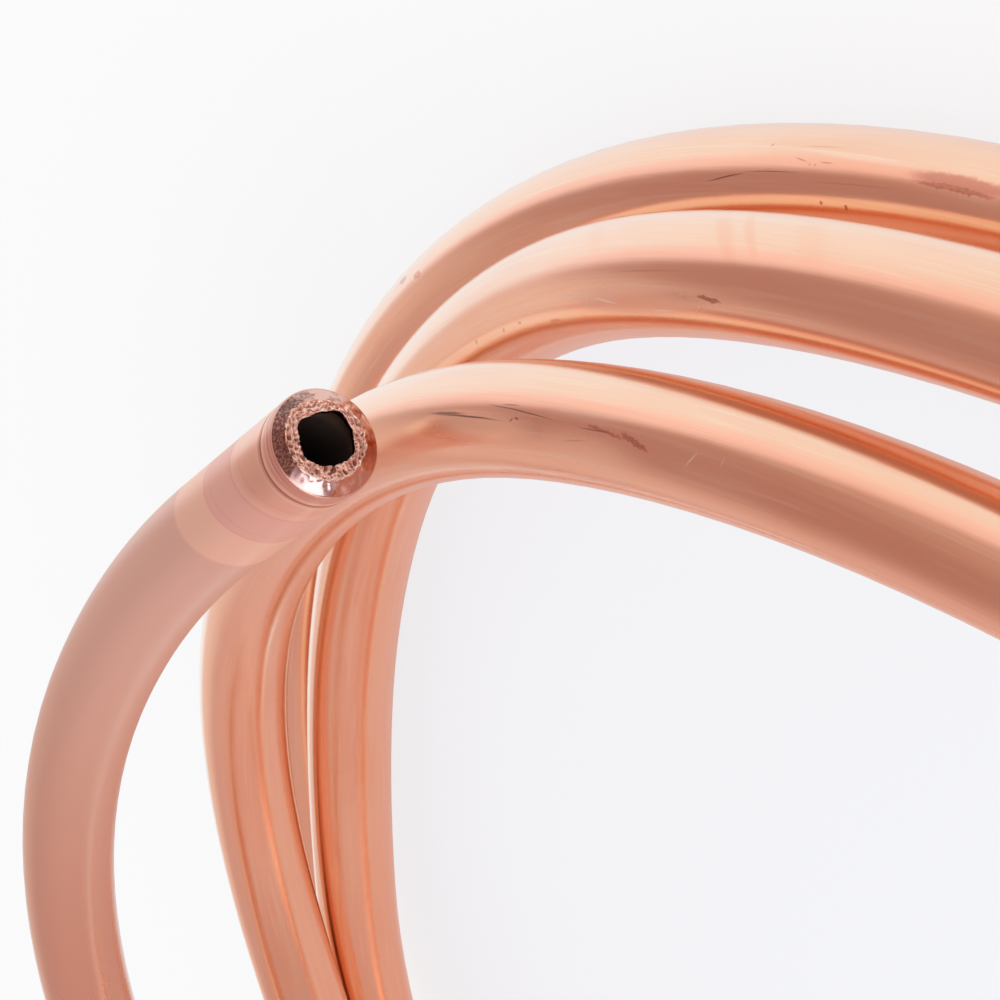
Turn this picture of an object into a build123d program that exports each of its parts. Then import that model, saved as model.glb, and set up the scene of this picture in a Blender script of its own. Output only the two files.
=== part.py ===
from build123d import *
from math import cos, radians, sin, sqrt
import os

# Loose coil of soft annealed copper tube, lying flat: +Z is the coil's axis, and the turns
# run down from the free end on top to the tail that lies on the floor.

# Stock
tube_diameter = 6.0
tube_wall = 1.0
stock_length = 2000.0

# Coil
coil_radius = 90.0  # from the coil's axis to the middle of the tube
first_station = 145.0  # degrees from +X, where the bent part of the tube begins
stations_per_turn = 12
extra_turn_pitch = 7.5  # only for stock longer than the turns set out below

# How far each turn has sprung out of the coil radius, in tube diameters, at twelve places
# round the turn. One row is one turn, the top one first.
spring_shares = (
    (-0.32, -0.44, -0.54, -0.25, 0.05, 0.25, 0.25, 0.05, -0.28, -0.61, -0.80, -0.69),
    (-0.50, -0.21, -0.76, -0.82, -0.65, -0.35, 0.05, 0.46, 0.82, 1.05, 1.03, 0.47),
    (-0.31, -0.77, -0.32, -0.13, 0.00, 0.00, 0.00, -0.05, -0.10, -0.06, 0.06, 0.29),
    (0.34, 0.29, 0.68, 0.80, 0.86, 0.92, 0.98, 1.02, 1.05, 1.10, 1.15, 1.32),
)

# How high the middle of the tube lies over the bottom turn's, in tube diameters.
height_shares = (
    (3.71, 4.41, 4.30, 4.05, 3.75, 3.50, 3.35, 3.20, 3.10, 2.98, 2.82, 2.70),
    (2.13, 1.66, 1.71, 1.78, 1.90, 2.00, 2.10, 2.22, 2.31, 2.34, 2.24, 1.89),
    (0.84, 0.53, 0.71, 0.90, 0.95, 0.95, 0.85, 0.70, 0.60, 0.52, 0.46, 0.30),
    (0.00, 0.07, 0.30, 0.22, 0.12, 0.04, 0.00, 0.00, 0.00, 0.00, 0.00, 0.00),
)

# Ends: straight, and cut with a wheel that rolls the rim in
end_run = 15.0  # straight tube before the first bend
rim_chamfer_depth = 0.75  # how far the wheel's flank pushed the wall in
rim_chamfer_length = 0.6
lip_width = 0.5  # how far the torn lip stands into the bore
lip_length = 0.35
lip_taper_length = 0.9
score_depth = 0.08  # groove that the wheel rolled further back
score_width = 0.3
score_offset = 2.1  # from the tip to the middle of the groove
end_piece_length = 3.5  # turned stretch that carries these

tube_radius = tube_diameter / 2
bore_radius = tube_radius - tube_wall
station_angle = 360 / stations_per_turn


def polar(number):
    """Radius, angle and height of the tube's middle at one station, counted from the tip."""
    turn, place = divmod(number, stations_per_turn)
    row = min(turn, len(spring_shares) - 1)
    radius = coil_radius + spring_shares[row][place] * tube_diameter
    height = height_shares[row][place] * tube_diameter - (turn - row) * extra_turn_pitch
    return radius, radians(first_station + number * station_angle), height


def station(number):
    """Middle of the tube at one station."""
    radius, angle, height = polar(number)
    return Vector(radius * cos(angle), radius * sin(angle), height)


def heading(number):
    """Direction of the tube at a station: round the coil, and drifting as its neighbours do."""
    radius, angle, height = polar(number)
    radius_before, angle_before, height_before = polar(max(number - 1, 0))
    radius_after, angle_after, height_after = polar(number + 1)
    outward = (radius_after - radius_before) / (angle_after - angle_before)
    upward = (height_after - height_before) / (angle_after - angle_before)
    across = outward * cos(angle) - radius * sin(angle)
    away = outward * sin(angle) + radius * cos(angle)
    return Vector(across, away, upward).normalized()


def bend_pair(number):
    """Two arcs, tangent to each other, from one station to the next."""
    start = station(number)
    finish = station(number + 1)
    leaving = heading(number)
    arriving = heading(number + 1)
    span = finish - start
    both = span.dot(leaving + arriving)
    spread = 2 * (1 - leaving.dot(arriving))
    reach = (sqrt(both * both + spread * span.dot(span)) - both) / spread
    near = start + leaving * reach
    far = finish - arriving * reach
    middle = (near + far) / 2
    first_arc = Edge.make_tangent_arc(start, leaving, middle)
    second_arc = Edge.make_tangent_arc(middle, far - near, finish)
    return [first_arc, second_arc]


def trimmed(pair, length):
    """The part of a bend pair that the given length of tube reaches."""
    kept = []
    for edge in pair:
        if length < tube_wall:
            break
        kept.append(edge if length > edge.length else edge.trim_to_length(0, length))
        length -= edge.length
    return kept


def tube_route():
    """Middle line between the turned ends: the bends that the stock fills, and straight ends."""
    straight = end_run - end_piece_length
    edges = [Edge.make_line(station(0) - heading(0) * straight, station(0))]
    left = stock_length - 2 * end_run
    number = 0
    while left > tube_wall:
        pair = trimmed(bend_pair(number), left)
        edges += pair
        left -= sum(edge.length for edge in pair)
        number += 1
    tail_start = edges[-1] @ 1
    edges.append(Edge.make_line(tail_start, tail_start + (edges[-1] % 1) * straight))
    return Wire(edges)


def tube_between_ends(route):
    """The hollow section drawn along the route."""
    section = Circle(tube_radius) - Circle(bore_radius)
    return sweep(Plane(origin=route @ 0, z_dir=route % 0) * section, route)


def end_profile():
    """Half section of a cut end: x is the radius, y the distance back from the tip."""
    return make_face(
        Polyline(
            (bore_radius, end_piece_length),
            (tube_radius, end_piece_length),
            (tube_radius, score_offset + score_width / 2),
            (tube_radius - score_depth, score_offset),
            (tube_radius, score_offset - score_width / 2),
            (tube_radius, rim_chamfer_length),
            (tube_radius - rim_chamfer_depth, 0),
            (bore_radius - lip_width, 0),
            (bore_radius - lip_width, lip_length),
            (bore_radius, lip_taper_length),
            close=True,
        )
    )


def cut_end(joint, outward):
    """Turned end of the tube that starts at the joint with the route."""
    turned = revolve(Plane.XZ * end_profile(), Axis.Z)
    tip = joint + outward * end_piece_length
    return Plane(origin=tip, z_dir=outward * -1).location * turned


def set_down(coil):
    """The coil with its lowest point on the floor, under the middle of its box."""
    box = coil.bounding_box()
    return Pos(-box.center().X, -box.center().Y, -box.min.Z) * coil


route = tube_route()
tube = tube_between_ends(route)
free_end = cut_end(route @ 0, (route % 0) * -1)
tail_end = cut_end(route @ 1, route % 1)
coil = set_down(tube + free_end + tail_end)

os.makedirs("parts", exist_ok=True)
export_step(coil.solid(), "parts/coil_tube.step")

bends = [edge.radius for edge in route.edges() if edge.geom_type == GeomType.CIRCLE]
print("length from tip to tip", route.length + 2 * end_piece_length)
print("bends", len(bends), "from", min(bends), "to", max(bends), "mm radius")
print("volume", coil.volume, "faces", len(coil.faces()))
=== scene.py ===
from math import atan2, cos, degrees, hypot, radians, sin, sqrt, tau
import bmesh
import bpy
from mathutils import Matrix, Vector, noise


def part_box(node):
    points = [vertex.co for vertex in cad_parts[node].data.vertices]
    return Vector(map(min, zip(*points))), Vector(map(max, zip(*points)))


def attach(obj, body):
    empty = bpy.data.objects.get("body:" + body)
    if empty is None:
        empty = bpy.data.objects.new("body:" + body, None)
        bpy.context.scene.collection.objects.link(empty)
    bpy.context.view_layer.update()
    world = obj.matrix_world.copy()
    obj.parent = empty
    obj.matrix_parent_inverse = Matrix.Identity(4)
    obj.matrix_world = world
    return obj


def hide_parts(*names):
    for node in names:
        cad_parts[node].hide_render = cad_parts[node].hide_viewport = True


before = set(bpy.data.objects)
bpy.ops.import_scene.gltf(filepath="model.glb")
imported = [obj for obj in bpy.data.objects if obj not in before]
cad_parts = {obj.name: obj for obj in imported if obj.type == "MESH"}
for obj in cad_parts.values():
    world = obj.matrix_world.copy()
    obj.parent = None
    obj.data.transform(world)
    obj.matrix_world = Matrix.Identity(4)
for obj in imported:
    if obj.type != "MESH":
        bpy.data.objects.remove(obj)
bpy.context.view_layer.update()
mm = 0.001
tiny = 0.001 * mm                     # allowed where a place is compared with a size

# The winding, as it was coiled by hand. The shares are in tube diameters, twelve places to a
# turn, the top turn first.
winding = {
    "tubeDiameter": 6 * mm,
    "wall": 1 * mm,
    "stockLength": 2000 * mm,         # along the middle, from tip to tip
    "coilRadius": 90 * mm,            # from the coil's axis to the middle of the tube
    "firstStation": 145,              # degrees, where the tube begins to bend
    "stationsPerTurn": 12,
    "endRun": 15 * mm,                # straight tube at each end
    "springShares": (                 # how far each turn sprang out of the coil's radius
        (-0.32, -0.44, -0.54, -0.25, 0.05, 0.25, 0.25, 0.05, -0.28, -0.61, -0.80, -0.69),
        (-0.50, -0.21, -0.76, -0.82, -0.65, -0.35, 0.05, 0.46, 0.82, 1.05, 1.03, 0.47),
        (-0.31, -0.77, -0.32, -0.13, 0.00, 0.00, 0.00, -0.05, -0.10, -0.06, 0.06, 0.29),
        (0.34, 0.29, 0.68, 0.80, 0.86, 0.92, 0.98, 1.02, 1.05, 1.10, 1.15, 1.32),
    ),
    "heightShares": (                 # and how high it lies over the bottom turn
        (3.71, 4.41, 4.30, 4.05, 3.75, 3.50, 3.35, 3.20, 3.10, 2.98, 2.82, 2.70),
        (2.13, 1.66, 1.71, 1.78, 1.90, 2.00, 2.10, 2.22, 2.31, 2.34, 2.24, 1.89),
        (0.84, 0.53, 0.71, 0.90, 0.95, 0.95, 0.85, 0.70, 0.60, 0.52, 0.46, 0.30),
        (0.00, 0.07, 0.30, 0.22, 0.12, 0.04, 0.00, 0.00, 0.00, 0.00, 0.00, 0.00),
    ),
}
tubeRadius = winding["tubeDiameter"] / 2
boreRadius = tubeRadius - winding["wall"]


def polarPlace(number):               # radius, angle and height of one station
    turn, place = divmod(number, winding["stationsPerTurn"])
    radius = winding["coilRadius"] + winding["springShares"][turn][place] * winding["tubeDiameter"]
    height = winding["heightShares"][turn][place] * winding["tubeDiameter"]
    return radius, radians(winding["firstStation"] + number * 360 / winding["stationsPerTurn"]), height


def stationPoint(number):
    radius, angle, height = polarPlace(number)
    return Vector((radius * cos(angle), radius * sin(angle), height))


def headingAt(number):                # round the coil, drifting as the neighbours do
    radius, angle, height = polarPlace(number)
    before, after = polarPlace(max(number - 1, 0)), polarPlace(number + 1)
    outward = (after[0] - before[0]) / (after[1] - before[1])
    upward = (after[2] - before[2]) / (after[1] - before[1])
    return Vector((outward * cos(angle) - radius * sin(angle),
                   outward * sin(angle) + radius * cos(angle), upward)).normalized()


def bendArc(start, heading, finish):
    heading = heading.normalized()
    chord = finish - start
    axis = heading.cross(chord).normalized()
    inward = axis.cross(heading)
    radius = chord.dot(chord) / (2 * chord.dot(inward))
    turn = 2 * heading.angle(chord)
    return {"start": start, "centre": start + inward * radius, "axis": axis,
            "turn": turn, "length": turn * radius}


def bendPair(number):                 # two arcs carry the tube from one station to the next
    start, finish = stationPoint(number), stationPoint(number + 1)
    leaving, arriving = headingAt(number), headingAt(number + 1)
    span = finish - start
    both = span.dot(leaving + arriving)
    spread = 2 * (1 - leaving.dot(arriving))
    reach = (sqrt(both * both + spread * span.dot(span)) - both) / spread
    near, far = start + leaving * reach, finish - arriving * reach
    middle = (near + far) / 2
    return [bendArc(start, leaving, middle), bendArc(middle, far - near, finish)]


def layRoute():                       # every straight run and bend, from tip to tip
    run = winding["endRun"]
    first = headingAt(0)
    route = [{"start": stationPoint(0) - first * run, "heading": first, "length": run}]
    left = winding["stockLength"] - 2 * run
    number = 0
    while left > winding["wall"]:
        for arc in bendPair(number):
            if left > winding["wall"]:
                kept = min(1, left / arc["length"])
                arc["turn"] *= kept
                arc["length"] *= kept
                left -= arc["length"]
                route.append(arc)
        number += 1
    last = route[-1]
    spoke = Matrix.Rotation(last["turn"], 3, last["axis"]) @ (last["start"] - last["centre"])
    route.append({"start": last["centre"] + spoke, "heading": last["axis"].cross(spoke).normalized(),
                  "length": run})
    return route


def sectionOn(stretch, distance):     # where the tube's section stands, that far into a stretch
    if "turn" not in stretch:
        return Matrix.Translation(stretch["heading"] * distance) @ stretch["place"]
    pivot = Matrix.Translation(stretch["centre"])
    turn = Matrix.Rotation(stretch["turn"] * distance / stretch["length"], 4, stretch["axis"])
    return pivot @ turn @ pivot.inverted() @ stretch["place"]


def sectionAt(along):
    for stretch in reversed(route):
        if along >= stretch["from"]:
            return sectionOn(stretch, along - stretch["from"])
    return sectionOn(route[0], along)


route = layRoute()
aim = route[0]["heading"].to_track_quat("Z", "Y").to_matrix().to_4x4()
place, along = Matrix.Translation(route[0]["start"]) @ aim, 0
for stretch in route:                 # carried on from stretch to stretch without a twist
    stretch["place"], stretch["from"] = place, along
    place = sectionOn(stretch, stretch["length"])
    along += stretch["length"]
print("route laid:", len(route), "stretches,", round(along, 4), "m")

# The drawn tube, straight along Z until it is wound, and its two cut ends
tube = {
    "sides": 64,
    "fineStep": 1 * mm,               # between rings near the ends
    "fineReach": 40 * mm,
    "step": 3 * mm,                   # and along the rest
    "boreSides": 24,
    "boreStep": 6 * mm,
    "weldGap": 0.8 * mm,              # from the finely meshed end to the plain wall
}
cut = {
    "sides": 240,
    "reach": 3.5 * mm,                # how far back the fine mesh goes outside
    "boreReach": 2.6 * mm,            # and inside
    "coneDepth": 0.75 * mm,           # burnished cone that the wheel rolled in
    "coneLength": 0.6 * mm,
    "rimRound": 0.08 * mm,
    "lipWidth": 0.5 * mm,             # torn lip over the bore
    "lipLength": 0.35 * mm,
    "lipTaper": 0.9 * mm,
    "collarWaist": 0.02 * mm,         # the collar between rim and groove is drawn in a little
    "ridgeShare": 0.4,                # of the collar's width, where a ridge stands
    "ridgeSpread": 0.1,               # share of that width on each side of its top
    "ridgeHeight": 0.02 * mm,
    "grooveOffset": 2.1 * mm,         # groove that the wheel rolled further back
    "grooveDepth": 0.08 * mm,
    "grooveWidth": 0.3 * mm,
    # Across the groove: shares of its half width back from its middle, and of its depth
    "grooveShares": ((6, 0), (2.6, 0.06), (1.6, 0), (1, 0.15), (0.6, 0.55), (0.3, 0.92), (0, 1),
                     (-0.3, 0.95), (-0.6, 0.75), (-1, 0.5)),
    "collarShares": (0.88, 0.76, 0.64, 0.56, 0.48, 0.44, 0.4, 0.36, 0.32, 0.24, 0.12),
    "rimDegrees": (0, 30, 60, 90),
    "coneSteps": 12,
    "tearSteps": 18,                  # from the cone to the mouth
    "lipShares": (0.12, 0.3, 0.6, 1),
    "taperShares": (0.3, 0.65, 1),
}


def addWall(bm, radius, sides, levels, steps):      # gives back its first and last rings
    made = bmesh.ops.create_circle(bm, segments=sides, radius=radius,
                                   matrix=Matrix.Translation((0, 0, levels[0])))
    first = last = list({edge for vert in made["verts"] for edge in vert.link_edges})
    for start, finish, step in zip(levels, levels[1:], steps):
        fresh = bmesh.ops.extrude_edge_only(bm, edges=last)["geom"]
        verts = [part for part in fresh if isinstance(part, bmesh.types.BMVert)]
        bmesh.ops.translate(bm, verts=verts, vec=(0, 0, finish - start))
        last = [part for part in fresh if isinstance(part, bmesh.types.BMEdge)]
        lengthwise = [edge for vert in verts for edge in vert.link_edges if edge not in last]
        # Rounding adds up here: the places of a ring lie within 0.01 mm along the tube
        bmesh.ops.subdivide_edges(bm, edges=lengthwise, cuts=round((finish - start) / step) - 1)
    return first, last


def endProfile():                     # radius and distance back from the tip, outside to bore
    rim, lip = tubeRadius - cut["coneDepth"], boreRadius - cut["lipWidth"]
    back, half, ridge = cut["grooveOffset"], cut["grooveWidth"] / 2, cut["ridgeShare"]
    points = [(tubeRadius, cut["reach"])]
    for share, sunk in cut["grooveShares"]:
        points.append((tubeRadius - cut["grooveDepth"] * sunk, back + share * half))
    shoulder = cut["grooveDepth"] * cut["grooveShares"][-1][1]
    for share in cut["collarShares"]:
        waist = cut["collarWaist"] * sin(tau / 2 * share)
        if share > ridge:             # behind its ridge, it slopes to the groove
            waist += shoulder * (share - ridge) / (1 - ridge)
        waist -= cut["ridgeHeight"] * max(0, 1 - abs(share - ridge) / cut["ridgeSpread"])
        points.append((tubeRadius - waist,
                       cut["coneLength"] + share * (back - half - cut["coneLength"])))
    edge = cut["rimRound"]
    for degree in cut["rimDegrees"]:
        points.append((tubeRadius - edge + edge * cos(radians(degree)),
                       cut["coneLength"] + edge - edge * sin(radians(degree))))
    for step in range(1, cut["coneSteps"] + 1):
        share = step / cut["coneSteps"]
        points.append((tubeRadius - edge - (cut["coneDepth"] - edge) * share,
                       cut["coneLength"] * (1 - share)))
    for step in range(1, cut["tearSteps"] + 1):
        points.append((rim + (lip - rim) * step / cut["tearSteps"], 0))
    for share in cut["lipShares"]:
        points.append((lip, cut["lipLength"] * share))
    for share in cut["taperShares"]:
        points.append((lip + cut["lipWidth"] * share,
                       cut["lipLength"] + (cut["lipTaper"] - cut["lipLength"]) * share))
    points.append((boreRadius, cut["boreReach"]))
    return points


# What the wheel tore: shares of the lip's and of the cone's inner radius, every 30 degrees
# counted from the side that is uppermost in the view of the free end, clockwise.
tear = {
    "mouthShares": (1.02, 1.15, 1.03, 0.95, 1.00, 0.90, 0.90, 1.05, 1.15, 1.08, 1.20, 1.01),
    "edgeShares": (0.97, 0.95, 0.94, 0.93, 0.90, 0.94, 0.96, 1.02, 1.04, 1.07, 1.11, 1.00),
    "seeds": (1, 3),                  # for the free end and the tail
    "nick": 0.06 * mm,                # raggedness of the mouth; the cone's edge has twice as much
    "nickScales": (2.1, 3.3),         # per mm, at the mouth and at the cone
    "starts": 0.02,                   # of its width, from the cone
    "fadeIn": 8,                      # to full depth over an eighth of its width
    "foldPitch": 0.25 * mm,           # folds that run round the mouth
    "foldDepth": 0.06 * mm,
    "foldSway": ((1.3, 1.2), (0.8, 3.5)),        # in pitches, and scale per mm
    "foldSharpness": 1.5,
    "foldLeast": 0.3,                 # share of the folds that the lower side keeps
    "grain": 0.21 * mm,
    "grainDepth": 0.16 * mm,
    "grainLeast": 0.2,                # share of the grain that the upper side keeps
    "grainSway": 0.25,                # sideways, in shares of the grain
    "grainSwayScale": 4.1,
    "leastSunk": 0.01 * mm,
    "upwards": -150,                  # degrees from the section's X to the view's upper side
}


def shareAt(shares, angle):           # smooth between the twelve places
    place = angle / tau * len(shares)
    number = int(place) % len(shares)
    blend = place - int(place)
    blend = blend * blend * (3 - 2 * blend)
    return shares[number] * (1 - blend) + shares[(number + 1) % len(shares)] * blend


def tearMouth(vert, seed):            # moves one vertex of the end as the metal tore there
    radius, back = hypot(vert.co.x, vert.co.y), vert.co.z
    lip, rim = boreRadius - cut["lipWidth"], tubeRadius - cut["coneDepth"]
    if radius > tubeRadius - cut["rimRound"] or back > cut["lipTaper"] - tiny:
        return                        # the outside and the bore stay round
    angle = (atan2(vert.co.y, vert.co.x) - radians(tear["upwards"])) % tau
    around = Vector((vert.co.x, vert.co.y, 0)) / radius
    spot = Vector((vert.co.x, vert.co.y, seed * 10 * mm + back)) / mm
    inner = min(1, max(0, (rim - radius) / (rim - lip)))             # 0 at the cone, 1 at the mouth
    cone = min(1, max(0, (tubeRadius - radius) / cut["coneDepth"]))  # 0 at the rim, 1 at the tear
    mouthNick, edgeNick = (tear["nick"] * noise.noise(spot * scale) for scale in tear["nickScales"])
    mouth = lip * (shareAt(tear["mouthShares"], angle) - 1) + mouthNick
    edge = rim * (shareAt(tear["edgeShares"], angle) - 1) + 2 * edgeNick
    outward = mouth * inner + edge * (1 - inner) * cone ** 2
    if back > cut["lipLength"]:
        outward *= max(0, (cut["lipTaper"] - back) / (cut["lipTaper"] - cut["lipLength"]))
    if inner > tear["starts"] and back < cut["lipLength"] / 2:
        rough = min(1, inner * tear["fadeIn"])
        wave = radius / tear["foldPitch"]
        for sway, scale in tear["foldSway"]:
            wave += sway * noise.noise(spot * scale)
        folds = tear["foldLeast"] + (1 - tear["foldLeast"]) * max(0, cos(angle)) ** 0.5
        sunk = tear["foldDepth"] * folds * (0.5 + 0.5 * cos(tau * wave)) ** tear["foldSharpness"]
        grain = abs(noise.noise(spot / (tear["grain"] / mm)))
        sunk += tear["grainDepth"] * grain * (1 + tear["grainLeast"] - folds)
        vert.co.z += rough * (sunk + tear["leastSunk"])
        sideways = noise.noise(spot * tear["grainSwayScale"] + Vector((7, 0, 0)))
        outward += tear["grainSway"] * tear["grain"] * rough * sideways
    vert.co += around * outward


# The finishes, in the order of the tube's material slots. The three scratched ones are drawn
# wall with marks of their own, on these stretches, in mm from the free end.
finishOrder = ("drawn", "cone", "torn", "bore", "handled", "scratchedC", "scratchedB", "scratchedA")
scratched = {"scratchedC": (522, 558), "scratchedB": (1090, 1131), "scratchedA": (1644, 1710)}
handledReach = 126 * mm               # how far hands dulled each end


def finishAt(spot):                   # on a cut end
    radius, back = hypot(spot.x, spot.y), spot.z
    if radius > tubeRadius - cut["rimRound"] - tiny:
        return finishOrder.index("handled")
    if radius > tubeRadius - cut["coneDepth"] - tiny:
        return finishOrder.index("cone")
    return finishOrder.index("torn" if back < cut["lipTaper"] else "bore")


def wallFinish(along):                # on the drawn wall
    if min(along, winding["stockLength"] - along) < handledReach:
        return finishOrder.index("handled")
    for name, (start, finish) in scratched.items():
        if start < along / mm < finish:
            return finishOrder.index(name)
    return finishOrder.index("drawn")


def addEnd(bm, seed, tail):           # gives back its outer ring and its ring in the bore
    end = bmesh.new()
    verts = [end.verts.new((radius, 0, back)) for radius, back in endProfile()]
    edges = [end.edges.new(pair) for pair in zip(verts, verts[1:])]
    bmesh.ops.spin(end, geom=verts + edges, cent=(0, 0, 0), axis=(0, 0, 1), dvec=(0, 0, 0),
                   angle=tau, steps=cut["sides"], use_merge=True, use_duplicate=False,
                   use_normal_flip=False)
    for face in end.faces:
        face.material_index = finishAt(face.calc_center_median())
    for vert in end.verts:
        tearMouth(vert, seed)
    if tail:
        bmesh.ops.scale(end, vec=(1, 1, -1), verts=end.verts)
        bmesh.ops.translate(end, vec=(0, 0, winding["stockLength"]), verts=end.verts)
    mesh = bpy.data.meshes.new("cut end")
    end.to_mesh(mesh)
    end.free()
    before = len(bm.edges)
    bm.from_mesh(mesh)
    bpy.data.meshes.remove(mesh)
    bm.edges.ensure_lookup_table()
    rings = [edge for edge in bm.edges[before:] if edge.is_boundary]
    outer = [edge for edge in rings if hypot(*edge.verts[0].co.xy) > (tubeRadius + boreRadius) / 2]
    return outer, [edge for edge in rings if edge not in outer]


def drawTube():
    length, fine = winding["stockLength"], tube["fineReach"]
    start, inside = cut["reach"] + tube["weldGap"], cut["boreReach"] + tube["weldGap"]
    bm = bmesh.new()
    walls = addWall(bm, tubeRadius, tube["sides"], (start, fine, length - fine, length - start),
                    (tube["fineStep"], tube["step"], tube["fineStep"]))
    bores = addWall(bm, boreRadius, tube["boreSides"], (inside, length - inside), (tube["boreStep"],))
    for tail in (False, True):
        outer, mouth = addEnd(bm, tear["seeds"][tail], tail)
        bmesh.ops.bridge_loops(bm, edges=outer + walls[tail])
        bmesh.ops.bridge_loops(bm, edges=mouth + bores[tail])
    bmesh.ops.recalc_face_normals(bm, faces=bm.faces)
    for face in bm.faces:
        face.smooth = True
        spot = face.calc_center_median()
        if face.material_index == 0:                # a wall's; the ends have their finishes
            inBore = hypot(spot.x, spot.y) < boreRadius + tiny
            face.material_index = finishOrder.index("bore") if inBore else wallFinish(spot.z)
    return bm


def windTube(bm):                     # keeps each point's place on the straight tube as "drawn"
    drawn = bm.verts.layers.float_vector.new("drawn")
    sections = {}
    for vert in bm.verts:
        vert[drawn] = vert.co / mm
        level = round(vert.co.z, 7)   # places on one level share a section
        if level not in sections:
            sections[level] = sectionAt(level)
        vert.co = sections[level] @ Vector((vert.co.x, vert.co.y, 0))


tubeMesh = bpy.data.meshes.new("copper_tube")
bm = drawTube()
print("tube drawn:", len(bm.faces), "faces")
windTube(bm)
bm.to_mesh(tubeMesh)
bm.free()
copperTube = bpy.data.objects.new("copper_tube", tubeMesh)
bpy.context.scene.collection.objects.link(copperTube)
corners = [Vector(pick(vert.co[axis] for vert in tubeMesh.vertices) for axis in range(3))
           for pick in (min, max)]
boxLow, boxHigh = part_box("coil_tube")
setDown = (boxLow + boxHigh - corners[0] - corners[1]) / 2
setDown.z = boxLow.z - corners[0].z
tubeMesh.transform(Matrix.Translation(setDown))
print("set down by", [round(value / mm, 3) for value in setDown], "mm; own box less the solid's:",
      [round((mine - its) / mm, 3) for mine, its in zip(corners[1] - corners[0], boxHigh - boxLow)])
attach(copperTube, "root")
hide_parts("coil_tube")


def feed(tree, kind, inputs, output=0, **settings):  # one node, fed with sockets or plain values
    node = tree.nodes.new("ShaderNode" + kind)
    for name, setting in settings.items():
        setattr(node, name, setting)
    for name, value in inputs.items():
        if isinstance(value, bpy.types.NodeSocket):
            tree.links.new(value, node.inputs[name])
        else:
            node.inputs[name].default_value = value
    return node.outputs[output]


def maths(tree, operation, first, second=0.0, third=0.0):
    return feed(tree, "Math", {0: first, 1: second, 2: third}, operation=operation)


def ramp(tree, value, low, high):     # 0 up to low, 1 from high, and smooth between
    if low > high:                    # or the other way round
        return maths(tree, "SUBTRACT", 1.0, ramp(tree, value, high, low))
    return feed(tree, "MapRange", {"Value": value, "From Min": low, "From Max": high},
                interpolation_type="SMOOTHSTEP")


def blendValue(tree, share, first, second):
    return feed(tree, "Mix", {0: share, 2: first, 3: second})


def blendColour(tree, share, first, second):
    return feed(tree, "Mix", {0: share, 6: first, 7: second}, 2, data_type="RGBA")


def addBump(tree, shader, strength, depth, height):
    bump = feed(tree, "Bump", {"Strength": strength, "Distance": depth, "Height": height})
    tree.links.new(bump, shader.inputs["Normal"])


def newFinish(name):                  # its node tree, its shader and the place on the straight tube
    finish = bpy.data.materials.new(name)
    finish.use_nodes = True
    tree = finish.node_tree
    shader = tree.nodes["Principled BSDF"]
    shader.inputs["Metallic"].default_value = 1
    drawn = feed(tree, "Attribute", {}, "Vector", attribute_name="drawn")
    copperTube.data.materials.append(finish)
    return tree, shader, drawn


def cloud(tree, drawn, stretch, scale, detail, roughness=0.5):   # noise, 0 to 1, scale per mm
    spot = feed(tree, "Mapping", {"Vector": drawn, "Scale": stretch})
    return feed(tree, "TexNoise", {"Vector": spot, "Scale": scale, "Detail": detail,
                                   "Roughness": roughness})


drawnFinish = {
    "copper": (1.0, 0.66, 0.465, 1),
    "fresher": (1.0, 0.71, 0.515, 1),
    "tanned": (0.97, 0.59, 0.40, 1),
    # Stretch, scale and detail of what the die left on the wall, and where each one shows
    "streaks": ((1, 1, 0.03), 3.0, 2),
    "fineStreaks": ((1, 1, 0.012), 11.0, 1),
    "patches": ((0.35, 0.35, 0.06), 1.0, 2),
    "streaksShow": (0.5, 0.75),
    "hairlinesShow": (0.5, 0.8),
    "patchesShow": (0.4, 0.68),
    "hairlineShare": 0.6,
    "roughness": 0.08,                # and what the streaks add
    "streakRoughness": 0.16,
    "fineRoughness": 0.08,
    "fineRelief": 0.4,                # beside the streaks' own
    "bump": 0.16,
    "bumpDepth": 0.01 * mm,
    "film": 0.8,                      # drawing oil, dried to a thin film
    "filmRoughness": 0.16,
}
handledFinish = {
    # From the cut end back, in mm: how far each zone reaches, how softly it ends, its colour
    "zones": ((5.3, 0.3, (0.97, 0.67, 0.54, 1)), (9.0, 0.3, (0.91, 0.57, 0.48, 1)),
              (13.4, 0.3, (0.98, 0.67, 0.53, 1)), (45.0, 30, (0.84, 0.57, 0.47, 1)),
              (95.0, 30, (0.75, 0.43, 0.31, 1))),
    "slant": 0.35,                    # further back, for each mm across the tube
    "collar": (1.6, 0.1, (0.78, 0.47, 0.39, 1)),     # darker up to there
    # Lines round the tube: half their width in mm, at the foot and where they are full
    "viceLines": ((4.2, 0.2), (5.4, 0.5), (8.2, 0.3), (9.0, 0.55), (13.4, 0.2)),
    "viceWidth": (0.16, 0.04),
    "viceColour": (0.88, 0.45, 0.38, 1),
    "glint": (2.38, 0.7),             # painted highlight: a pale line just behind the groove
    "glintWidth": (0.14, 0.05),
    "glintColour": (1.0, 0.84, 0.76, 1),
    "shadeAndDirt": (2.07, 0.8),              # painted shade in the groove
    "shadeAndDirtWidth": (0.16, 0.07),
    "shadeAndDirtColour": (0.5, 0.25, 0.19, 1),
    "fade": (95, 35),                 # mm from the end, over which the handling fades
    "tarnishFrom": (4.0, 6.0),        # the stretch behind the cut was wiped bare
    "tarnish": 0.28,                  # share of the bare metal that handling hid
    "roughness": 0.42,
    "wornShare": 0.6,                 # of that roughness, from handling alone
    "tarnishShare": 0.4,              # and from the tarnish
}
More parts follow.
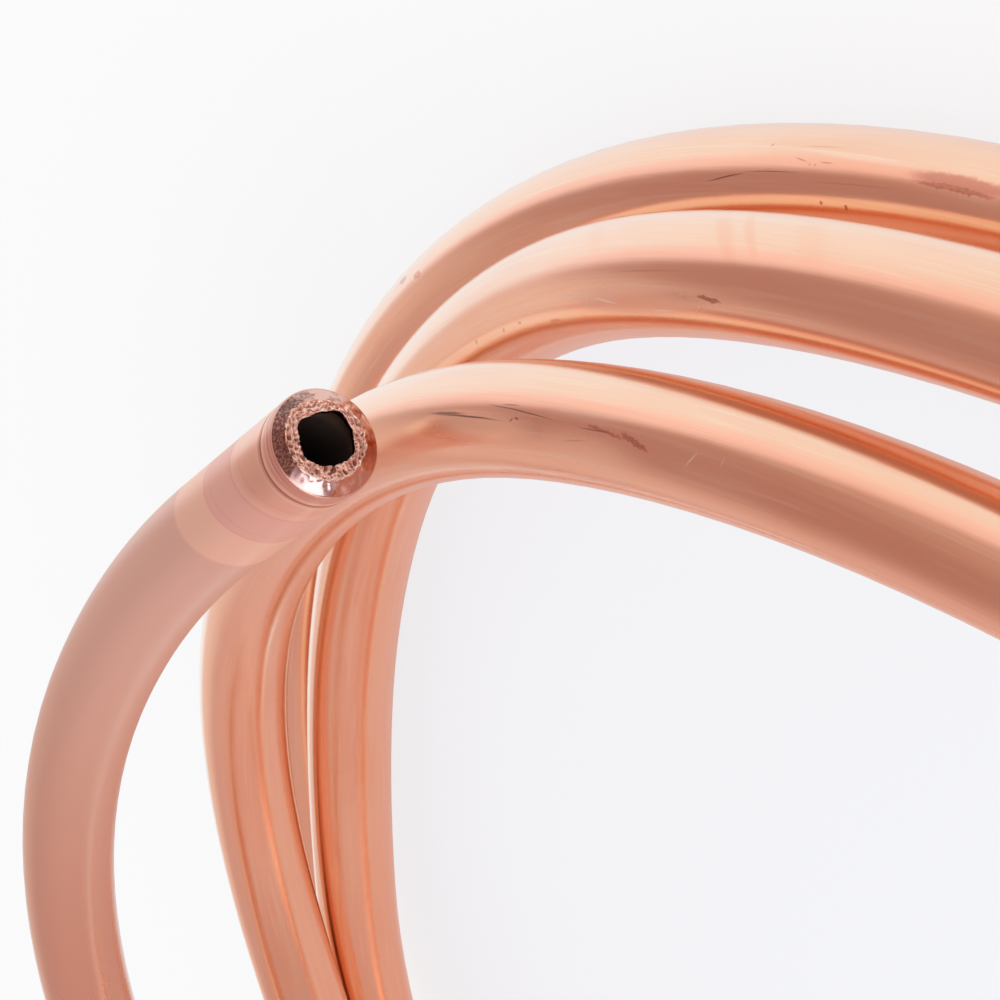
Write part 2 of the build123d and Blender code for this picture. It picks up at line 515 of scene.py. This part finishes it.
# Marks on the wall: place along the tube (mm) and round it (degrees), half their length and
# width (mm), lean (degrees) and strength
marks = {
    "scratchedC": {
        "orangePatch": ((547.0, 107, 7.5, 1.1, -1, 1.0), (538.5, 100, 7.0, 1.2, 0, 0.5)),
        "stain": ((533.9, 113, 1.3, 0.2, -13, 0.6), (536.2, 116, 1.8, 0.12, -6, 0.5)),
        "dark": ((548.8, 117, 4.6, 0.07, -2, 0.9), (551.0, 120, 2.6, 0.12, -1, 0.8),
                 (543.2, 125, 3.9, 0.05, -4, 0.9), (545.0, 127, 2.2, 0.04, -3, 0.7),
                 (544.4, 130, 1.1, 0.04, 0, 0.7), (544.2, 116, 0.26, 0.06, 29, 0.9),
                 (543.7, 118, 0.24, 0.08, -6, 0.9), (536.9, 119, 1.8, 0.05, 1, 0.7)),
        "faint": ((545.1, 60, 3.6, 0.06, 1, 0.7), (539.3, 63, 4.3, 0.06, 2, 0.7),
                  (537.7, 60, 4.2, 0.06, 5, 0.6), (542.0, 68, 3.0, 0.05, 3, 0.5),
                  (538.5, 106, 1.6, 0.05, 6, 0.6)),
        "pale": ((529.6, 115, 0.75, 0.08, 46, 1.0), (527.5, 121, 0.4, 0.06, 72, 0.6)),
    },
    "scratchedB": {
        "orangePatch": ((1105.0, 86, 8.0, 1.0, -1, 1.0),),
        "stain": ((1098.1, 88.8, 1.15, 0.15, -6.6, 0.75),
                  (1114.8, 70, 0.9, 0.15, -2, 0.35), (1126.3, 78, 0.2, 0.1, 30, 0.7),
                  (1121.9, 76, 0.2, 0.1, 20, 0.7), (1119.3, 77, 0.25, 0.1, 10, 0.7)),
        "faint": ((1103.3, 113, 4.5, 0.05, 1, 0.5),),
        "band": ((1097.9, 154, 3.0, 0.65, -38, 0.6), (1096.2, 158, 3.0, 0.4, -40, 0.6),
                 (1110.0, 158, 3.0, 0.9, -38, 0.3), (1091.8, 158, 3.0, 1.0, -38, 0.3)),
        "pale": ((1102.5, 76, 1.45, 0.08, 1, 0.9), (1107.8, 86, 1.6, 0.08, -9, 0.9),
                 (1109.6, 91, 0.43, 0.06, 51, 0.7), (1111.1, 94, 1.45, 0.05, -5, 0.6),
                 (1114.5, 87, 0.8, 0.05, -20, 0.6), (1113.4, 98, 1.0, 0.05, 3, 0.5)),
    },
    "scratchedA": {
        "scuff": ((1653.6, 126, 4.0, 0.46, 0, 1.0),),
        "stain": ((1654.0, 120, 3.0, 0.2, 0, 0.6), (1706.3, 125, 0.8, 0.3, -10, 0.5),
                  (1703.6, 113, 0.7, 0.3, -10, 0.4), (1662.3, 89, 0.14, 0.12, 0, 0.9),
                  (1660.6, 88, 0.18, 0.12, 40, 0.9)),
        "dark": ((1669.3, 111, 2.0, 0.06, 8, 0.9), (1665.9, 117, 2.8, 0.05, 1, 0.7)),
        "faint": ((1663.0, 145, 1.9, 0.04, 2, 0.6), (1664.0, 130, 0.7, 0.06, -11, 0.8),
                  (1663.3, 126, 0.14, 0.06, -79, 0.8), (1662.2, 129, 0.6, 0.06, 1, 0.8),
                  (1662.9, 126, 0.14, 0.06, 60, 0.8), (1666.6, 144, 0.16, 0.12, 0, 0.7),
                  (1660.0, 112, 4.0, 0.05, 2, 0.4)),
    },
}
markReach = 2                         # mm that a mark's place goes in and out of the wall
# Each kind fades in from its outline to this share of its size; then its colour and roughness
markFinish = {
    "orangePatch": (0.2, (1.0, 0.53, 0.35, 1), 0.5),
    "scuff": (0.5, (0.82, 0.40, 0.27, 1), 0.5),
    "stain": (0.55, (0.50, 0.21, 0.12, 1), 0.4),
    "dark": (0.3, (0.20, 0.10, 0.08, 1), 0.5),
    "faint": (0.2, (0.70, 0.29, 0.19, 1), 0.35),
    "band": (0.3, (1.0, 0.54, 0.35, 1), 0.25),
    "pale": (0.3, (1.0, 0.80, 0.68, 1), 0.45),
}
markGrain = {
    "raggedKinds": ("stain", "scuff"),
    "ragged": (3.5, 2),               # scale per mm and detail of what breaks their outlines
    "raggedness": 0.3,                # mm
    "fringe": (0.90, 0.44, 0.31, 1),  # pink at a stain's edge, brown and speckled inside
    "fringeEdge": (0.0, 0.3),
    "coreEdge": (0.15, 0.8),
    "speckle": ((1, 1, 1), 5.0, 2, 0.65),
    "speckleEdge": (0.3, 0.65),
    "coreShares": (0.55, 0.4),        # of the brown: everywhere, and more in the speckles
    "orangePatchScatter": 0.5,             # share of the light that the orange patches scatter
}


def markMask(tree, drawn, places, edge):     # 1 inside the marks
    whole = 0.0
    for along, turn, length, width, lean, strength in places:
        angle, radius = radians(turn), tubeRadius / mm
        local = feed(tree, "Mapping",
                     {"Vector": drawn, "Location": (radius * cos(angle), radius * sin(angle), along),
                      "Rotation": (radians(lean), 0, angle), "Scale": (markReach, width, length)},
                     vector_type="TEXTURE")
        away = feed(tree, "VectorMath", {0: local}, "Value", operation="LENGTH")
        mask = feed(tree, "MapRange", {"Value": away, "From Min": 1.0, "From Max": edge,
                                       "To Max": strength}, interpolation_type="SMOOTHSTEP")
        whole = maths(tree, "MAXIMUM", mask, whole)
    return whole


def endDistance(tree, drawn):         # along the tube from the nearer cut end, in mm
    along = feed(tree, "SeparateXYZ", {"Vector": drawn}, "Z")
    return maths(tree, "MINIMUM", along, maths(tree, "SUBTRACT", winding["stockLength"] / mm, along))


def ringLine(tree, distance, place, width, colour, lineColour):      # a line round the tube
    middle, share = place
    off = maths(tree, "ABSOLUTE", maths(tree, "SUBTRACT", distance, middle))
    line = maths(tree, "MULTIPLY", ramp(tree, off, *width), share)
    return blendColour(tree, line, colour, lineColour)


def handled(tree, shader, drawn, colour, rough):      # dulled in zones that a vice's jaws bounded
    fromEnd = endDistance(tree, drawn)
    across = feed(tree, "SeparateXYZ", {"Vector": drawn}, "X")
    slant = maths(tree, "MULTIPLY_ADD", across, handledFinish["slant"], fromEnd)
    for limit, soft, zoneColour in reversed(handledFinish["zones"]):
        colour = blendColour(tree, ramp(tree, slant, limit + soft, limit - soft), colour, zoneColour)
    for place in handledFinish["viceLines"]:
        colour = ringLine(tree, slant, place, handledFinish["viceWidth"], colour,
                          handledFinish["viceColour"])
    limit, soft, collarColour = handledFinish["collar"]
    colour = blendColour(tree, ramp(tree, fromEnd, limit + soft, limit - soft), colour, collarColour)
    # A painted highlight just behind the groove, and painted shade in the groove
    for line in ("glint", "shadeAndDirt"):
        colour = ringLine(tree, fromEnd, handledFinish[line], handledFinish[line + "Width"], colour,
                          handledFinish[line + "Colour"])
    worn = ramp(tree, fromEnd, *handledFinish["fade"])
    dull = maths(tree, "MULTIPLY", worn, ramp(tree, slant, *handledFinish["tarnishFrom"]))
    bare = maths(tree, "MULTIPLY_ADD", dull, -handledFinish["tarnish"], 1.0)
    tree.links.new(bare, shader.inputs["Metallic"])
    film = maths(tree, "MULTIPLY_ADD", worn, -drawnFinish["film"], drawnFinish["film"])
    tree.links.new(film, shader.inputs["Coat Weight"])
    dullness = maths(tree, "MULTIPLY_ADD", dull, handledFinish["tarnishShare"],
                     maths(tree, "MULTIPLY", worn, handledFinish["wornShare"]))
    return colour, blendValue(tree, dullness, rough, handledFinish["roughness"])


def drawMarks(tree, shader, drawn, own, colour, rough):
    scale, detail = markGrain["ragged"]
    crumbs = feed(tree, "TexNoise", {"Vector": drawn, "Scale": scale, "Detail": detail}, "Color")
    ragged = feed(tree, "VectorMath", {0: crumbs, 1: [markGrain["raggedness"]] * 3, 2: drawn},
                  operation="MULTIPLY_ADD")
    speckle = ramp(tree, cloud(tree, drawn, *markGrain["speckle"]), *markGrain["speckleEdge"])
    least, more = markGrain["coreShares"]
    core = maths(tree, "MULTIPLY_ADD", speckle, more, least)
    for kind, places in own.items():
        edge, markColour, markRoughness = markFinish[kind]
        mask = markMask(tree, ragged if kind in markGrain["raggedKinds"] else drawn, places, edge)
        if kind == "stain":
            fringe = ramp(tree, mask, *markGrain["fringeEdge"])
            colour = blendColour(tree, fringe, colour, markGrain["fringe"])
            mask = maths(tree, "MULTIPLY", ramp(tree, mask, *markGrain["coreEdge"]), core)
        # the orange patches: less metallic, so they scatter part of the light
        if kind == "orangePatch":
            bare = maths(tree, "MULTIPLY_ADD", mask, -markGrain["orangePatchScatter"], 1.0)
            tree.links.new(bare, shader.inputs["Metallic"])
        colour = blendColour(tree, mask, colour, markColour)
        rough = blendValue(tree, mask, rough, markRoughness)
    return colour, rough


def drawnCopper(name, own):           # own marks by kind, if that stretch has any
    tree, shader, drawn = newFinish(name)
    shader.inputs["Coat Weight"].default_value = drawnFinish["film"]
    shader.inputs["Coat Roughness"].default_value = drawnFinish["filmRoughness"]
    streaks = cloud(tree, drawn, *drawnFinish["streaks"])
    fineStreaks = cloud(tree, drawn, *drawnFinish["fineStreaks"])
    tanned = ramp(tree, cloud(tree, drawn, *drawnFinish["patches"]), *drawnFinish["patchesShow"])
    fresher = ramp(tree, streaks, *drawnFinish["streaksShow"])
    hairlines = maths(tree, "MULTIPLY", ramp(tree, fineStreaks, *drawnFinish["hairlinesShow"]),
                      drawnFinish["hairlineShare"])
    colour = blendColour(tree, tanned, drawnFinish["copper"], drawnFinish["tanned"])
    colour = blendColour(tree, fresher, colour, drawnFinish["fresher"])
    colour = blendColour(tree, hairlines, colour, drawnFinish["tanned"])
    rough = maths(tree, "MULTIPLY_ADD", streaks, drawnFinish["streakRoughness"],
                  drawnFinish["roughness"])
    rough = maths(tree, "MULTIPLY_ADD", fineStreaks, drawnFinish["fineRoughness"], rough)
    if name == "handled":
        colour, rough = handled(tree, shader, drawn, colour, rough)
    if own:
        colour, rough = drawMarks(tree, shader, drawn, own, colour, rough)
    tree.links.new(colour, shader.inputs["Base Color"])
    tree.links.new(rough, shader.inputs["Roughness"])
    relief = maths(tree, "MULTIPLY_ADD", fineStreaks, drawnFinish["fineRelief"], streaks)
    addBump(tree, shader, drawnFinish["bump"], drawnFinish["bumpDepth"], relief)


coneFinish = {
    "clean": (0.82, 0.52, 0.45, 1),
    "mottle": ((1, 1, 1), 1.6, 3, 0.65),
    "fine": ((1, 1, 1), 7.0, 3, 0.65),
    "stained": (0.57, 0.27, 0.19, 1),
    "stainedSide": 125,               # degrees clockwise from the view's upper side
    "stainedMore": 0.16,              # on that side
    "stainedEdge": (0.42, 0.62),
    # Painted shade: the side of the cone on the left in the view is painted dark brown, with a ragged,
    # speckled edge; the small dark spots take the same colour
    "coneShadeAndDirt": (0.18, 0.085, 0.07, 1),
    "shadedSide": -84,
    "shadedSideBreaks": (0.9, 0.4),        # how far the mottle and the fine noise break its edge
    "shadedSideEdge": (0.85, 1.25),
    "shadedSideSpeckle": (0.1, 0.6),
    "spots": ((47, 0.4), (120, 0.25), (150, 0.25)),      # small dark ones: side and size (mm)
    "spotInset": 0.3,                 # mm in from the outside
    "spotSoftness": 1.5,
    "spotShare": 0.7,
    "milky": (0.61, 0.46, 0.455, 1),  # patch under a thin greyish film
    "milkySide": 206,
    "milkyInner": (0.6, 0.66),        # shares of the tube's radius
    "milkyHalf": (0.42, 0.38),
    "roughness": (0.17, 0.32),        # clean, and under the painted shade and the dark spots
    "bump": 0.06,
    "bumpDepth": 0.02 * mm,
}


def sideSpoke(side, radius):          # point on the end that lies to that side in the view
    angle = radians(tear["upwards"] + side)
    return Vector((radius * cos(angle), radius * sin(angle), 0))


def burnishedCopper():                # the cone under the wheel's flank
    tree, shader, drawn = newFinish("cone")
    mottle = cloud(tree, drawn, *coneFinish["mottle"])
    fine = cloud(tree, drawn, *coneFinish["fine"])

    def towards(side):                # 1 at that side of the rim, -1 at the other
        return feed(tree, "VectorMath", {0: drawn, 1: sideSpoke(side, mm / tubeRadius)}, "Value",
                    operation="DOT_PRODUCT")

    stain = maths(tree, "MULTIPLY_ADD", towards(coneFinish["stainedSide"]),
                  coneFinish["stainedMore"], mottle)
    # Painted shade on that side, broken by the mottle and the fine noise; the dark spots join it
    coarseBreak, fineBreak = coneFinish["shadedSideBreaks"]
    ragged = maths(tree, "MULTIPLY_ADD", fine, fineBreak, towards(coneFinish["shadedSide"]))
    ragged = maths(tree, "MULTIPLY_ADD", mottle, coarseBreak, ragged)
    shadeAndDirt = maths(tree, "MULTIPLY", ramp(tree, ragged, *coneFinish["shadedSideEdge"]),
                 ramp(tree, fine, *coneFinish["shadedSideSpeckle"]))
    for side, size in coneFinish["spots"]:
        middle = sideSpoke(side, tubeRadius / mm - coneFinish["spotInset"])
        gap = feed(tree, "VectorMath", {0: drawn, 1: middle}, "Value", operation="DISTANCE")
        gap = maths(tree, "MULTIPLY_ADD", fine, size, gap)
        spot = ramp(tree, gap, size * coneFinish["spotSoftness"], size)
        shadeAndDirt = maths(tree, "MAXIMUM", shadeAndDirt, maths(tree, "MULTIPLY", spot, coneFinish["spotShare"]))
    milky = maths(tree, "MULTIPLY",
                  ramp(tree, towards(coneFinish["milkySide"]), *coneFinish["milkyInner"]),
                  ramp(tree, maths(tree, "ABSOLUTE", towards(coneFinish["milkySide"] + 90)),
                       *coneFinish["milkyHalf"]))
    stained = ramp(tree, stain, *coneFinish["stainedEdge"])
    colour = blendColour(tree, stained, coneFinish["clean"], coneFinish["stained"])
    colour = blendColour(tree, shadeAndDirt, colour, coneFinish["coneShadeAndDirt"])
    colour = blendColour(tree, milky, colour, coneFinish["milky"])
    tree.links.new(colour, shader.inputs["Base Color"])
    tree.links.new(blendValue(tree, shadeAndDirt, *coneFinish["roughness"]), shader.inputs["Roughness"])
    addBump(tree, shader, coneFinish["bump"], coneFinish["bumpDepth"], fine)


tornFinish = {
    # Painted shade by depth: pale on the tips of the tear, darker down its flanks, darkest in its
    # crevices
    "ridge": (0.96, 0.70, 0.60, 1),
    "flank": (0.74, 0.45, 0.38, 1),
    "flankEdge": (0.045, 0.09),       # mm back from the tip
    "creviceShade": (0.21, 0.10, 0.08, 1),
    "creviceShadeEdge": (0.08, 0.14),
    "crumbs": ((1, 1, 1), 6.0, 3, 0.65),
    "crumbDepth": 0.08,               # mm
    "smoke": (0.42, 0.20, 0.15, 1),   # uneven darker film over the tear
    "smokeShare": 0.7,
    "smokePatches": ((1, 1, 1), 1.8, 3, 0.6),
    "smokeEdge": (0.46, 0.62),
    "roughness": 0.26,
    "bump": 0.7,
    "bumpDepth": 0.05 * mm,
}


def tornCopper():
    tree, shader, drawn = newFinish("torn")
    crumbs = cloud(tree, drawn, *tornFinish["crumbs"])
    level = maths(tree, "MULTIPLY_ADD", crumbs, tornFinish["crumbDepth"], endDistance(tree, drawn))
    # The deeper the tear, the darker its colour: painted shade
    flank = ramp(tree, level, *tornFinish["flankEdge"])
    creviceShade = ramp(tree, level, *tornFinish["creviceShadeEdge"])
    smoke = ramp(tree, cloud(tree, drawn, *tornFinish["smokePatches"]), *tornFinish["smokeEdge"])
    smoke = maths(tree, "MULTIPLY", smoke, tornFinish["smokeShare"])
    colour = blendColour(tree, flank, tornFinish["ridge"], tornFinish["flank"])
    colour = blendColour(tree, smoke, colour, tornFinish["smoke"])
    colour = blendColour(tree, creviceShade, colour, tornFinish["creviceShade"])
    tree.links.new(colour, shader.inputs["Base Color"])
    shader.inputs["Roughness"].default_value = tornFinish["roughness"]
    addBump(tree, shader, tornFinish["bump"], tornFinish["bumpDepth"], crumbs)


boreFinish = {
    # Painted shade: the bore is painted dark and dull further in
    "mouth": (0.62, 0.34, 0.25, 1),
    "inside": (0.10, 0.07, 0.06, 1),
    "boreShadeDepth": (1.0, 2.4),            # mm in from the tip, over which painted shade darkens the bore and its metal fades
    "soot": (0.02, 0.015, 0.012, 1),
    "sootPatches": ((1, 1, 0.2), 2.0, 2),
    "sootShare": 0.5,
    "roughness": 0.5,
}


def boreCopper():
    tree, shader, drawn = newFinish("bore")
    # painted shade, deeper into the bore
    dark = ramp(tree, endDistance(tree, drawn), *boreFinish["boreShadeDepth"])
    soot = maths(tree, "MULTIPLY", cloud(tree, drawn, *boreFinish["sootPatches"]),
                 boreFinish["sootShare"])
    colour = blendColour(tree, dark, boreFinish["mouth"], boreFinish["inside"])
    colour = blendColour(tree, soot, colour, boreFinish["soot"])
    tree.links.new(colour, shader.inputs["Base Color"])
    tree.links.new(maths(tree, "SUBTRACT", 1.0, dark), shader.inputs["Metallic"])
    shader.inputs["Roughness"].default_value = boreFinish["roughness"]


endFinishes = {"cone": burnishedCopper, "torn": tornCopper, "bore": boreCopper}
for name in finishOrder:
    if name in endFinishes:
        endFinishes[name]()
    else:
        drawnCopper(name, marks.get(name, {}))
print("finishes:", [finish.name for finish in copperTube.data.materials])

# Floor, room, camera and softbox
stage = {
    "floorSize": 3,
    "floorPaint": (0.94, 0.95, 0.98, 1),
    "floorRoughness": 0.9,
    "seenShare": 0.8,                 # the rest of the floor is shaded, and keeps the shadow
    "shadeRing": (0.085, 0.1),             # inside it lies the floor that the coil surrounds, which carries painted shade
    "cameraFloor": ((0.925, 0.935, 0.965, 1), (1, 1, 1, 1)),     # inside, a little darker: painted shade; outside
    "glossFloor": ((0.74, 0.43, 0.37, 1), (1, 1, 1, 1)),         # the same, as the metal shows it: inside, painted shade with a painted copper glow
    "wall": (1, 0.98, 0.97, 1),       # white paper that rises behind the floor
    "wallWarm": (1, 0.77, 0.77, 1),   # and in warmer light near its upper edge
    "warms": (-0.85, -0.45),
    "wallEdge": (0.65, -0.375, 1),    # across its upper edge, which slopes
    "wallTop": (-0.44, -0.25),
    "room": (0.46, 0.265, 0.24, 1),   # dim room above it, lighter on one side
    "roomLighter": (0.60, 0.39, 0.34, 1),
    "roomSide": (0, 1, 0),
    "roomEdge": (-0.1, 0.6),
    "window": (0.72, 0.46, 0.42, 1),  # softer light from one side
    "windowSide": (0.26, -0.97, 0),
    "windowEdge": (0.3, 0.9),
    "sheet": (0.84, 0.62, 0.54, 1),   # paler sheet that stands beside it
    "sheetSide": (-0.70, -0.70, 0.09),
    "sheetEdge": (0.88, 1.0),
    "glow": (0.8, 0.8, 0.82, 1),      # what lights the floor
}
camera = {
    "place": Vector((22.73 * mm, 179.05 * mm, 90.81 * mm)),      # in the winding's own frame
    "forward": Vector((-0.4912, -0.7364, -0.4651)),
    "right": Vector((0.6871, 0.0006, -0.7266)),
    "focalPixels": 3150,
    "framePixels": 1000,
    "sensorWidth": 36,                # mm
    "nearest": 5 * mm,
}
keySoftbox = {
    "place": Vector((0.30, 0.165, 0.225)),
    "target": Vector((-0.064, 0.063, 0.024)),        # near the free end
    "size": (0.40, 0.26),
    "power": 0.65,
}


def seenBy(tree, *kinds):             # 1 for those kinds of ray
    path = tree.nodes.new("ShaderNodeLightPath")
    seen = path.outputs[kinds[0]]
    for kind in kinds[1:]:
        seen = maths(tree, "MAXIMUM", seen, path.outputs[kind])
    return seen


def layFloor():
    floorMesh = bpy.data.meshes.new("floor")
    bm = bmesh.new()
    bmesh.ops.create_grid(bm, x_segments=1, y_segments=1, size=stage["floorSize"] / 2)
    bm.to_mesh(floorMesh)
    bm.free()
    floor = bpy.data.objects.new("floor", floorMesh)
    bpy.context.scene.collection.objects.link(floor)
    paint = bpy.data.materials.new("pale floor")
    paint.use_nodes = True
    tree = paint.node_tree
    shaded = tree.nodes["Principled BSDF"]
    shaded.inputs["Base Color"].default_value = stage["floorPaint"]
    shaded.inputs["Roughness"].default_value = stage["floorRoughness"]
    spot = feed(tree, "TexCoord", {}, "Object")
    away = feed(tree, "VectorMath", {0: spot}, "Value", operation="LENGTH")
    # Inside the coil the floor carries painted shade, and the metal sees it with a painted copper glow
    outside = ramp(tree, away, *stage["shadeRing"])
    toCamera = blendColour(tree, outside, *stage["cameraFloor"])
    toGloss = blendColour(tree, outside, *stage["glossFloor"])
    white = blendColour(tree, seenBy(tree, "Is Camera Ray"), toGloss, toCamera)
    glow = feed(tree, "Emission", {"Color": white})
    seen = seenBy(tree, "Is Camera Ray", "Is Glossy Ray", "Is Transmission Ray")
    seen = maths(tree, "MULTIPLY", seen, stage["seenShare"])
    mixed = feed(tree, "MixShader", {0: seen, 1: shaded.outputs["BSDF"], 2: glow})
    tree.links.new(mixed, tree.nodes["Material Output"].inputs["Surface"])
    floor.data.materials.append(paint)


def paintRoom():
    room = bpy.data.worlds.new("studio")
    room.use_nodes = True
    tree = room.node_tree
    way = feed(tree, "TexCoord", {}, "Generated")

    def share(side, edge):            # 1 in the directions of that side
        towards = feed(tree, "VectorMath", {0: way, 1: side}, "Value", operation="DOT_PRODUCT")
        return ramp(tree, towards, *edge)

    window = share(stage["windowSide"], stage["windowEdge"])
    lighter = share(stage["roomSide"], stage["roomEdge"])
    sheet = share(stage["sheetSide"], stage["sheetEdge"])
    dim = blendColour(tree, lighter, stage["room"], stage["roomLighter"])
    dim = blendColour(tree, window, dim, stage["window"])
    dim = blendColour(tree, sheet, dim, stage["sheet"])
    warm = share(stage["wallEdge"], stage["warms"])
    paper = blendColour(tree, warm, stage["wall"], stage["wallWarm"])
    above = maths(tree, "MAXIMUM", share(stage["wallEdge"], stage["wallTop"]), window)
    toGloss = blendColour(tree, above, paper, dim)
    lit = blendColour(tree, seenBy(tree, "Is Glossy Ray", "Is Transmission Ray"), stage["glow"], toGloss)
    seen = blendColour(tree, seenBy(tree, "Is Camera Ray"), lit, stage["cameraFloor"][1])
    tree.links.new(seen, tree.nodes["Background"].inputs["Color"])
    bpy.context.scene.world = room


def standCamera():
    lens = bpy.data.cameras.new("camera")
    lens.sensor_width = camera["sensorWidth"]
    lens.lens = camera["sensorWidth"] * camera["focalPixels"] / camera["framePixels"]
    lens.clip_start = camera["nearest"]
    stand = bpy.data.objects.new("camera", lens)
    bpy.context.scene.collection.objects.link(stand)
    back = -camera["forward"].normalized()
    up = back.cross(camera["right"]).normalized()
    turn = Matrix((up.cross(back), up, back)).transposed().to_4x4()
    stand.matrix_world = Matrix.Translation(camera["place"] + setDown) @ turn
    bpy.context.scene.camera = stand
    local = sectionAt(0).to_3x3().inverted() @ up
    print("view's upper side at the free end:", round(degrees(atan2(local.y, local.x)), 1), "degrees")


def softbox(name, place, target, size, power):
    light = bpy.data.lights.new(name, "AREA")
    light.shape = "RECTANGLE"
    light.size, light.size_y = size
    light.energy = power
    lamp = bpy.data.objects.new(name, light)
    lamp.location = place
    lamp.rotation_euler = (target - place).to_track_quat("-Z", "Y").to_euler()
    bpy.context.scene.collection.objects.link(lamp)


layFloor()
paintRoom()
standCamera()
softbox("key softbox", **keySoftbox)
bpy.context.scene.view_settings.view_transform = "Standard"
print("floor, room, camera and softbox set up")
